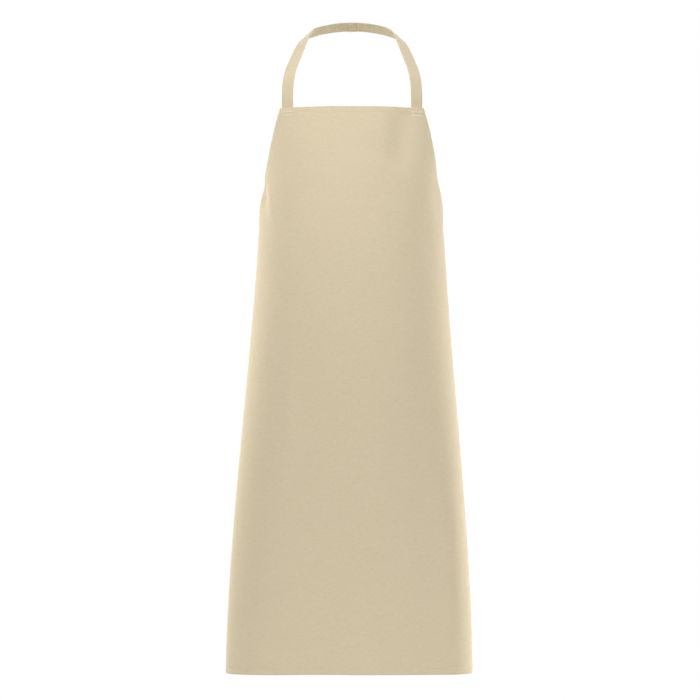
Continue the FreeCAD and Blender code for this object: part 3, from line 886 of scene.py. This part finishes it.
def strap_surface(side, offsets, count=STRAP_RINGS):
    """Places and outward directions of a strap half, for each offset across it.

    It rises inside the bib's hem. Above the seat each line along the strip adds up its own
    direction, and an eased correction brings it to the centre back.
    """
    sewing = settings("sewing")
    quick_run = {"left": sewing.crisp_roll, "right": sewing.soft_roll}[side]
    girth = strap_girth()
    lift = lap_lift(sewing.strap_thickness)
    lap_drop = np.linspace(sewing.strap_lap, 0.0, 12)[:, None]
    lap = wrap(girth + offsets[None], lap_drop, lift)
    lap_out = outward_at(girth + offsets[None] + 0 * lap_drop, lap_drop + 0 * offsets[None])
    ends = wrap(np.array([girth - MM, girth, girth + MM]), np.zeros(3), lift)
    seat_across = unit((ends[2] - ends[0]) * np.array([1.0, 1.0, 0.0]))
    step = sewing.strap_length / count
    middles = np.broadcast_to((np.arange(count)[:, None] + 0.5) * step, (count, len(offsets)))
    spread = np.broadcast_to(offsets[None], middles.shape)
    along = strap_directions(middles, spread, seat_across, quick_run)[1]
    start = ends[1] + np.array([0, 0, sewing.strap_bend_above]) + seat_across * offsets[:, None]
    free = np.concatenate([start[None], start[None] + np.cumsum(along * step, axis=0)])
    target = nape_down() * (offsets[:, None] - sewing.strap_width / 2)
    share = np.linspace(0, 1, count + 1)[:, None, None]
    free = free + (target - free[-1])[None] * eased(share)
    places = np.broadcast_to(share[..., 0] * sewing.strap_length, (count + 1, len(offsets)))
    spread = np.broadcast_to(offsets[None], places.shape)
    free_out = strap_directions(places, spread, seat_across, quick_run)[2]
    mirror = np.array([SIDES[side], 1.0, 1.0])
    return np.concatenate([lap, free]) * mirror, np.concatenate([lap_out, free_out]) * mirror


def make_strap(side):
    """One half of the neck strap, from its sewn end to the centre back seam."""
    sewing = settings("sewing")
    profile = pillow_profile(sewing.strap_width, sewing.strap_thickness)
    places, outward = strap_surface(side, profile[:, 0])
    points = places + outward * profile[:, 1][None, :, None]
    along = travelled(places.mean(axis=1))
    uv = np.stack(np.broadcast_arrays(profile[None, :, 0], along[:, None]), axis=-1)
    return make_strip(f"strap_{side}", points, uv), float(along[-1])


def row_stitches(places, outward, lift):
    """Starts, ends and normals of stitches along a worked-out line, on the face that lift points to."""
    line = places + outward * lift
    run = travelled(line)
    begin, finish = stitch_places(run[-1])

    def at(distance, values):
        return np.stack([np.interp(distance, run, values[:, axis]) for axis in range(3)], axis=-1)

    normals = unit(at(0.5 * (begin + finish), outward)) * math.copysign(1.0, lift)
    return at(begin, line), at(finish, line), normals


def edge_rows(name, places, outward, thickness):
    """The two rows, one on each face, that close a folded strip along one edge."""
    lift = thickness / 2 + 0.02 * MM
    return make_stitches(name, [row_stitches(places[:, 0], outward[:, 0], face * lift) for face in (1, -1)])


def make_strap_stitching(side):
    """The row that closes the folded strap, along its inner edge, on both faces."""
    sewing = settings("sewing")
    surface = strap_surface(side, np.array([sewing.edge_row - sewing.strap_width / 2]))
    return edge_rows(f"strap_edge_stitching_{side}", *surface, sewing.strap_thickness)


def nape_strip(side, near, far):
    """Places and outward directions of the strap within two distances of the centre back seam."""
    sewing = settings("sewing")
    offsets = np.linspace(-0.5, 0.5, 13) * (sewing.strap_width - 0.6 * MM)
    places, outward = strap_surface(side, offsets, NAPE_RINGS)
    step = sewing.strap_length / NAPE_RINGS
    first, last = (len(places) - 1 - int(round(distance / step)) for distance in (far, near))
    return places[first:last + 1], outward[first:last + 1]


def make_nape_allowance(side):
    """One seam allowance at the nape, pressed open against the strap's inner face."""
    sewing, cut = settings("sewing", "cut")
    places, outward = nape_strip(side, 0.1 * MM, sewing.seam_allowance)
    share = np.linspace(0, 1, len(places))[:, None]
    puff = 0.35 * MM * share * share
    top = places - outward * (sewing.strap_thickness / 2 - 0.05 * MM)
    low = places - outward * (sewing.strap_thickness / 2 + 0.75 * cut.ply + puff)[..., None]
    ring = np.concatenate([top, low[:, ::-1]], axis=1)
    spread = np.concatenate([np.linspace(0, 1, 13), np.linspace(1, 0, 13)]) * sewing.strap_width
    uv = np.stack(np.broadcast_arrays(share * sewing.seam_allowance, spread[None]), axis=-1)
    return make_strip(f"nape_allowance_{side}", ring, uv)


def make_nape_rows():
    """A row of stitches on each side of the centre back seam, on both faces of the strap."""
    sewing, cut = settings("sewing", "cut")
    rows = []
    for side in SIDES:
        places, outward = nape_strip(side, sewing.nape_row - 0.3 * MM, sewing.nape_row + 0.3 * MM)
        line, away = places[0, 1:-1], outward[0, 1:-1]
        rows.append(row_stitches(line, away, sewing.strap_thickness / 2))
        rows.append(row_stitches(line, away, -sewing.strap_thickness / 2 - 0.9 * cut.ply))
    return make_stitches("nape_rows", rows)


TACK_THREAD = 0.9  # thickness of a tack's thread against the hems'
TACK_LEAN = 0.35  # how far a thread leans towards the next one
STRAP_TACK_THREADS = 52
TIE_TACK_THREADS = 44
TIE_TACK_TOP = 4.5 * MM  # the tie's upper edge to the top of its bar tacks


def satin_bar(low_girth, high_girth, low_drop, high_drop, lift, threads, upright):
    """Starts, ends and normals of a bar tack: a tight zigzag of threads that fills a small block."""
    share = (np.arange(threads) + 0.5) / threads
    lean = TACK_LEAN / threads
    if upright:
        starts = (low_girth + (high_girth - low_girth) * share, np.full(threads, low_drop))
        ends = (low_girth + (high_girth - low_girth) * (share + lean), np.full(threads, high_drop))
    else:
        starts = (np.full(threads, low_girth), low_drop + (high_drop - low_drop) * share)
        ends = (np.full(threads, high_girth), low_drop + (high_drop - low_drop) * (share + lean))
    normals = outward_at(*(0.5 * (start + end) for start, end in zip(starts, ends)))
    return wrap(*starts, lift), wrap(*ends, lift), normals * math.copysign(1.0, lift)


def tack_faces(thickness):
    """Lifts of a bar tack's threads on the cloth's outer face and on the strip's inner face."""
    cut = settings("cut")
    return cut.ply / 2 + 0.05 * MM, lap_lift(thickness) - thickness / 2 - 0.05 * MM


def make_strap_tacks(side):
    """Two bars of tight zigzag that hold the strap end behind the bib's hem."""
    sewing = settings("sewing")
    sign, girth = SIDES[side], strap_girth()
    half = sewing.strap_width / 2 - 0.4 * MM
    bars = []
    for row in range(2):
        top = sewing.first_tack + row * sewing.tack_pitch
        for lift in tack_faces(sewing.strap_thickness):
            bars.append(satin_bar(sign * (girth - half), sign * (girth + half), top,
                                  top + sewing.tack_height, lift, STRAP_TACK_THREADS, upright=True))
    return make_stitches(f"strap_tacks_{side}", bars, TACK_THREAD)


def make_tie_tacks(side):
    """Two upright bars of tight zigzag that hold the tie end behind the waist corner."""
    cut, sewing = settings("cut", "sewing")
    sign = SIDES[side]
    top = cut.waist_drop + sewing.tie_below
    bars = []
    for inset in (sewing.tie_lap - sewing.tie_tack_inset, sewing.side_hem / 2):
        middle, half = cut.skirt_half - inset, sewing.tack_height / 2
        for lift in tack_faces(sewing.tie_thickness):
            bars.append(satin_bar(sign * (middle - half), sign * (middle + half), top + TIE_TACK_TOP,
                                  top + sewing.tie_width - MM, lift, TIE_TACK_THREADS, upright=False))
    return make_stitches(f"tie_tacks_{side}", bars, TACK_THREAD)


# ---------------------------------------------------------------- waist ties

TIE_FOLD = 1.3 * MM  # radius of the fold that turns a tie downwards
TIE_PHASES = {"left": 0.9, "right": 2.3}
TIE_TWIST = 0.75
TIE_SWAY = ((0.007, 5.2), (0.010, 4.1))  # width and pace of the sway, in x and in y


def tie_whole():
    """Whole length of a tie: its sewn end, the fold and the free fall."""
    sewing = settings("sewing")
    return sewing.tie_lap + sewing.tie_clear + sewing.tie_width + sewing.tie_length


def tie_place(side, along, across):
    """Place of a flat point of the tie: its distance along it, and across from its upper edge.

    The strip is first laid flat along the girth. Past a slanting line it is bent round a small
    cylinder and comes back mirrored, which turns it downwards; from there it hangs plumb and
    turns slowly about its own middle line, with a slight sway.
    """
    cut, sewing = settings("cut", "sewing")
    sign = SIDES[side]
    top = cut.waist_drop + sewing.tie_below
    start = cut.skirt_half - sewing.tie_lap
    corner = cut.skirt_half + sewing.tie_clear
    plumb = top + sewing.tie_width
    girth, drop = start + along, top + across
    root = math.sqrt(2)
    beyond = ((girth - corner) - (drop - top)) / root
    beside = ((girth - corner) + (drop - top)) / root
    bend = np.clip(beyond / TIE_FOLD, 0, math.pi)
    past = np.clip(beyond - math.pi * TIE_FOLD, 0, None)
    normal = np.where(beyond <= 0, beyond, TIE_FOLD * np.sin(bend) - past)
    flat_girth = corner + (beside + normal) / root
    flat_drop = top + (beside - normal) / root
    lift = lap_lift(sewing.tie_thickness) - TIE_FOLD * (1 - np.cos(bend))
    fall = np.clip(flat_drop - plumb, 0, None)
    place = wrap(sign * flat_girth, np.minimum(flat_drop, plumb), lift)
    middle = wrap(np.full(1, sign * (corner + sewing.tie_width / 2)), np.full(1, plumb),
                  lap_lift(sewing.tie_thickness) - 2 * TIE_FOLD)[0]
    share = np.clip(fall / sewing.tie_length, 0, 1)
    phase = TIE_PHASES[side]
    twist = TIE_TWIST * (np.sin(share * 3.4 + phase) - math.sin(phase)) * np.clip(share * 4, 0, 1)
    away_x, away_y = place[..., 0] - middle[0], place[..., 1] - middle[1]
    hanging = fall > 0
    turned_x = away_x * np.cos(twist) - away_y * np.sin(twist)
    turned_y = away_x * np.sin(twist) + away_y * np.cos(twist)
    for axis, away, (width, pace) in zip((0, 1), (turned_x, turned_y), TIE_SWAY):
        swayed = middle[axis] + away + width * share * share * np.sin(share * pace + phase)
        place[..., axis] = np.where(hanging, swayed, place[..., axis])
    place[..., 2] -= fall
    return place


def tie_surface(side, along, across):
    """Places of the tie and its outward directions, by small steps along and across."""
    along, across = np.broadcast_arrays(along, across)
    step = 0.05 * MM
    run = tie_place(side, along + step, across) - tie_place(side, along - step, across)
    spread = tie_place(side, along, across + step) - tie_place(side, along, across - step)
    outward = unit(np.cross(spread, run)) * -SIDES[side]
    return tie_place(side, along, across), outward


def tie_stations():
    """Distances along a tie at which its rings lie: close together through the fold."""
    sewing = settings("sewing")
    fold = sewing.tie_lap + sewing.tie_clear
    return np.concatenate([
        np.linspace(0, fold - 3 * MM, 10)[:-1],
        np.linspace(fold - 3 * MM, fold + sewing.tie_width + 8 * MM, 130)[:-1],
        np.linspace(fold + sewing.tie_width + 8 * MM, tie_whole(), 150),
    ])


def make_tie(side):
    """One waist tie: a pressed strip carried through its fold."""
    sewing = settings("sewing")
    profile = pillow_profile(sewing.tie_width, sewing.tie_thickness)
    along = tie_stations()
    across = profile[:, 0] + sewing.tie_width / 2
    places, outward = tie_surface(side, along[:, None], across[None])
    points = places + outward * profile[:, 1][None, :, None]
    uv = np.stack(np.broadcast_arrays(across[None], along[:, None]), axis=-1)
    return make_strip(f"tie_{side}", points, uv)


def make_tie_stitching(side):
    """The row that closes the folded tie along its lower edge, on both faces."""
    sewing = settings("sewing")
    surface = tie_surface(side, tie_stations()[:, None], np.array([[sewing.tie_width - sewing.edge_row]]))
    return edge_rows(f"tie_edge_stitching_{side}", *surface, sewing.tie_thickness)


# ---------------------------------------------------------------- operators


STRAP_HINGE = frame_joint("strap_bend")
TIE_HINGES = {side: frame_joint(f"tie_bend_{side}") for side in SIDES}
# How far above and below its hinge a piece's blend would start and end; the places are worked out, but
# nothing blends.
STRAP_BLEND = (0.008, 0.003)
TIE_BLEND = (-0.001, 0.010)


def across_joint(piece, upper, lower, hinge, blend, slot, *cad_nodes):
    """Bake a piece's place into its mesh and hide what it stands for; it is not bent at the hinge."""
    start, end = list(hinge), list(hinge)
    start[2] += blend[0]
    end[2] -= blend[1]
    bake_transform(piece)
    if cad_nodes:
        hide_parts(*cad_nodes)


def declare(piece, body, slot, *cad_nodes):
    """Put a finished piece on its body and hide what it stands for; the slot is not used."""
    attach(piece, body)
    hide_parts(*cad_nodes)


class APRON_OT_panel(bpy.types.Operator):
    """Make the canvas panel"""

    bl_idname = "apron.make_panel"
    bl_label = "Panel"

    def execute(self, context):
        cut = settings("cut")
        piece = make_panel()
        declare(piece, "apron", "canvas", "apron_panel")
        flat_area()
        return {"FINISHED"}


class APRON_OT_hems(bpy.types.Operator):
    """Make the turned hems"""

    bl_idname = "apron.make_hems"
    bl_label = "Hems"

    def execute(self, context):
        for name in HEMS:
            declare(make_hem(name), "apron", "canvas", name)
        return {"FINISHED"}


class APRON_OT_hem_stitching(bpy.types.Operator):
    """Sew the hems, with a row of lock stitches on each face of the cloth"""

    bl_idname = "apron.sew_hems"
    bl_label = "Hem stitching"

    def execute(self, context):
        cut, sewing = settings("cut", "sewing")
        outer = cut.ply / 2 - 0.10 * MM
        inner = -cut.ply / 2 - sewing.hem_bulk - 0.02 * MM
        for hem, (which, width_name, count) in HEMS.items():
            inset = getattr(sewing, width_name) - sewing.stitch_inset
            girth, drop, in_girth, in_drop = edge_line(which, 2 * count)
            girth, drop = girth + in_girth * inset, drop + in_drop * inset
            name = hem.replace("hem", "stitching")
            rows = [stitch_path(girth, drop, lift) for lift in (outer, inner)]
            declare(make_stitches(name, rows), "apron", "thread", name)
        return {"FINISHED"}


class APRON_OT_neck_strap(bpy.types.Operator):
    """Make both halves of the neck strap, with the stitching along their inner edges"""

    bl_idname = "apron.make_neck_strap"
    bl_label = "Neck strap"

    def execute(self, context):
        sewing = settings("sewing")
        for side in SIDES:
            piece, length = make_strap(side)
            across_joint(piece, "neck_strap", "apron", STRAP_HINGE, STRAP_BLEND, "canvas",
                         f"neck_strap_{side}", f"neck_strap_end_{side}")
            stitching = make_strap_stitching(side)
            across_joint(stitching, "neck_strap", "apron", STRAP_HINGE, STRAP_BLEND, "thread")
        return {"FINISHED"}


class APRON_OT_nape_seam(bpy.types.Operator):
    """Make the centre back seam: its pressed allowances and their two rows of stitches"""

    bl_idname = "apron.make_nape_seam"
    bl_label = "Nape seam"

    def execute(self, context):
        for side in SIDES:
            declare(make_nape_allowance(side), "neck_strap", "canvas", "nape_seam_allowance")
        declare(make_nape_rows(), "neck_strap", "thread", "nape_seam_stitching")
        return {"FINISHED"}


class APRON_OT_bar_tacks(bpy.types.Operator):
    """Sew the bar tacks that hold the strap ends and the tie ends"""

    bl_idname = "apron.sew_bar_tacks"
    bl_label = "Bar tacks"

    def execute(self, context):
        for side in SIDES:
            declare(make_strap_tacks(side), "apron", "thread", f"neck_strap_bar_tack_{side}")
            declare(make_tie_tacks(side), "apron", "thread", f"waist_tie_bar_tack_{side}")
        return {"FINISHED"}


class APRON_OT_ties(bpy.types.Operator):
    """Make the waist ties, with the stitching along their lower edges"""

    bl_idname = "apron.make_ties"
    bl_label = "Waist ties"

    def execute(self, context):
        sewing = settings("sewing")
        for side in SIDES:
            piece = make_tie(side)
            across_joint(piece, "apron", f"tie_{side}", TIE_HINGES[side], TIE_BLEND, "canvas",
                         f"waist_tie_{side}", f"waist_tie_end_{side}")
            tie_whole()
            stitching = make_tie_stitching(side)
            across_joint(stitching, "apron", f"tie_{side}", TIE_HINGES[side], TIE_BLEND, "thread")
        return {"FINISHED"}


def studio_world():
    """White surroundings for the camera; for light, a soft dome that is brighter above than below."""
    world = bpy.data.worlds.new("studio")
    tree = emptied_tree(world)
    place = node(tree, "ShaderNodeTexCoord").outputs["Generated"]
    height = node(tree, "ShaderNodeSeparateXYZ", place).outputs[2]
    level = remap(tree, height, -0.7, 0.9, 0.12, 0.72)
    white = (1.0, 1.0, 1.0)
    soft, bright = (node(tree, "ShaderNodeBackground", white, strength) for strength in (level, 1.0))
    seen = node(tree, "ShaderNodeLightPath").outputs["Is Camera Ray"]
    mix = node(tree, "ShaderNodeMixShader", seen, soft.outputs[0], bright.outputs[0])
    node(tree, "ShaderNodeOutputWorld", mix.outputs[0])
    return world


def area_light(name, place, target, width, height, power, colour=(1.0, 1.0, 1.0)):
    """A soft rectangular light at a place, facing a target."""
    lamp = bpy.data.lights.new(name, "AREA")
    lamp.shape = "RECTANGLE"
    lamp.size, lamp.size_y = width, height
    lamp.energy = power
    lamp.color = colour
    holder = bpy.data.objects.new(name, lamp)
    bpy.context.scene.collection.objects.link(holder)
    holder.location = place
    direction = np.array(target) - np.array(place)
    holder.rotation_euler = Vector(direction).to_track_quat("-Z", "Y").to_euler()


FLOOR_HALF = 1.6
CAMERA_ACROSS = -0.004


class APRON_OT_stage(bpy.types.Operator):
    """Set up the pale floor, the soft studio light and the camera"""

    bl_idname = "apron.make_stage"
    bl_label = "Stage"

    def execute(self, context):
        stage = settings("stage")
        scene = context.scene
        scene.view_settings.view_transform = "Standard"
        floor_mesh = bpy.data.meshes.new("floor")
        signs = ((-1, -1), (1, -1), (1, 1), (-1, 1))
        corners = [(x * FLOOR_HALF, y * FLOOR_HALF, stage.floor_height) for x, y in signs]
        floor_mesh.from_pydata(corners, [], [(0, 1, 2, 3)])
        floor = bpy.data.objects.new("floor", floor_mesh)
        scene.collection.objects.link(floor)
        pale = bpy.data.materials.new("pale_floor")
        pale.use_nodes = True
        shader = pale.node_tree.nodes["Principled BSDF"]
        shader.inputs["Base Color"].default_value = (0.9, 0.9, 0.9, 1.0)
        shader.inputs["Roughness"].default_value = 0.9
        floor_mesh.materials.append(pale)
        scene.world = studio_world()
        middle = (0.0, -0.15, -0.6)
        area_light("key", (-0.7, -1.9, 1.2), (0.0, -0.15, -0.25), 1.1, 1.0, 39.0, (1.0, 0.99, 0.975))
        area_light("fill", (1.5, -2.4, 0.1), middle, 1.4, 1.6, 17.5)
        area_light("rim_left", (-1.2, 0.45, -0.5), (-0.2, -0.1, -0.5), 0.3, 1.0, 15.0, (1.0, 0.98, 0.94))
        area_light("rim_right", (1.2, 0.45, -0.8), (0.2, -0.1, -0.85), 0.3, 1.7, 19.0, (1.0, 0.98, 0.94))
        camera_data = bpy.data.cameras.new("camera")
        camera_data.lens = stage.lens
        camera_data.sensor_width = 36.0
        camera = bpy.data.objects.new("camera", camera_data)
        scene.collection.objects.link(camera)
        camera.location = (CAMERA_ACROSS, PANEL_LOW[1] - stage.camera_distance, stage.camera_height)
        camera.rotation_euler = (math.radians(90), 0.0, 0.0)
        scene.camera = camera
        return {"FINISHED"}


OPERATORS = (
    APRON_OT_stage,
    APRON_OT_panel,
    APRON_OT_hems,
    APRON_OT_hem_stitching,
    APRON_OT_neck_strap,
    APRON_OT_nape_seam,
    APRON_OT_bar_tacks,
    APRON_OT_ties,
)


class APRON_PT_sidebar(bpy.types.Panel):
    """Sizes and build steps of the apron"""

    bl_idname = "APRON_PT_sidebar"
    bl_label = "Bib apron"
    bl_space_type = "VIEW_3D"
    bl_region_type = "UI"
    bl_category = "Apron"

    def draw(self, context):
        for name, group in SETTINGS.items():
            box = self.layout.box()
            box.label(text=group.__doc__)
            for key in group.__annotations__:
                box.prop(getattr(context.scene, name), key, text=key.replace("_", " ").capitalize())
        for operator in OPERATORS:
            self.layout.operator(operator.bl_idname)


def register():
    """Register the classes and put the settings on the scene."""
    for item in (*SETTINGS.values(), *OPERATORS, APRON_PT_sidebar):
        bpy.utils.register_class(item)
    for name, group in SETTINGS.items():
        setattr(bpy.types.Scene, name, PointerProperty(type=group))


def unregister():
    """Take the settings and the classes away again."""
    for name in SETTINGS:
        delattr(bpy.types.Scene, name)
    for item in (APRON_PT_sidebar, *reversed(OPERATORS), *SETTINGS.values()):
        bpy.utils.unregister_class(item)


def main():
    """Build the apron and its stage."""
    register()
    for operator in OPERATORS:
        group, name = operator.bl_idname.split(".")
        getattr(getattr(bpy.ops, group), name)()


if __name__ == "__main__":
    main()
